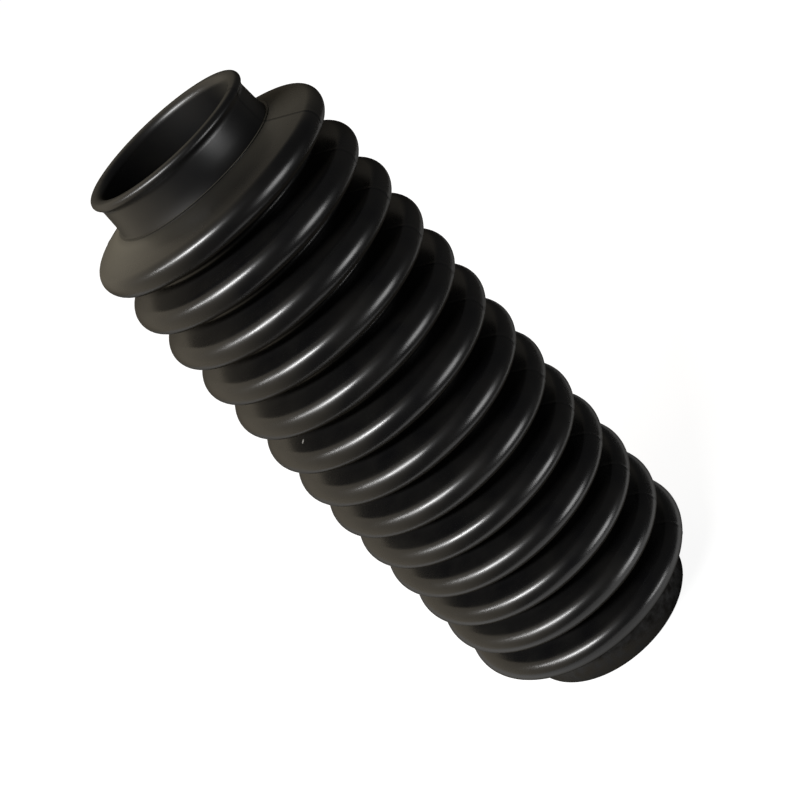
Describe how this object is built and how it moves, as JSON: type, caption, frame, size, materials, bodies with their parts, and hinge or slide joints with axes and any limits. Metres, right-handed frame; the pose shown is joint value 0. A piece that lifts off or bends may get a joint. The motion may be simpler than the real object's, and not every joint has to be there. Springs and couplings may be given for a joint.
{
  "type": "fork gaiter",
  "caption": "Ribbed black rubber sleeve, open at both ends, with a plain collar at the foot and a narrower beaded collar at the mouth.",
  "frame": {"origin": "centre of the lower collar's flat end, on which the gaiter stands", "axes": "+Z along the gaiter's axis, from the wider lower collar to the beaded mouth"},
  "size_m": [0.082, 0.082, 0.2131],
  "materials": {
    "rubber": "satin"
  },
  "bodies": {
    "root": {"gaiter": "rubber"}
  },
  "joints": []
}
